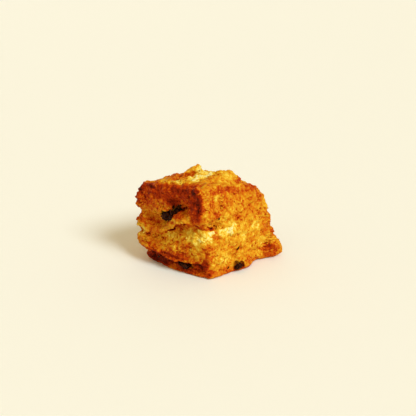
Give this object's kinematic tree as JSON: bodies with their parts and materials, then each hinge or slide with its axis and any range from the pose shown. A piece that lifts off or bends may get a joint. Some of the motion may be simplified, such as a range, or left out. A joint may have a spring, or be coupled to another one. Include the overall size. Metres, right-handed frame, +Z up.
{
  "type": "raisin scone",
  "caption": "Square-cut baked scone that leans and has split along its layers, with a torn domed top and dried fruit set in pockets of its walls.",
  "frame": {"origin": "middle of the part's box in plan, on the surface the foot stands on", "axes": "+Z up from the flat foot through the torn top; +X out of the right wall; -Y out of the near wall, which holds the two large raisins"},
  "size_m": [0.0574, 0.0624, 0.0515],
  "materials": {
    "baked_dough": "baked dough: golden crumbly crust browned to dark orange brown, with pale yellow torn crumb; matt with a slight buttery sheen",
    "raisin": "baked raisin: near-black wrinkled skin with a soft gloss"
  },
  "bodies": {
    "root": {"scone_body": "baked_dough", "raisin_crease_left": "raisin", "raisin_crease_right": "raisin", "raisin_seam": "raisin", "raisin_foot": "raisin", "raisin_back": "raisin", "raisin_side": "raisin"}
  },
  "joints": []
}
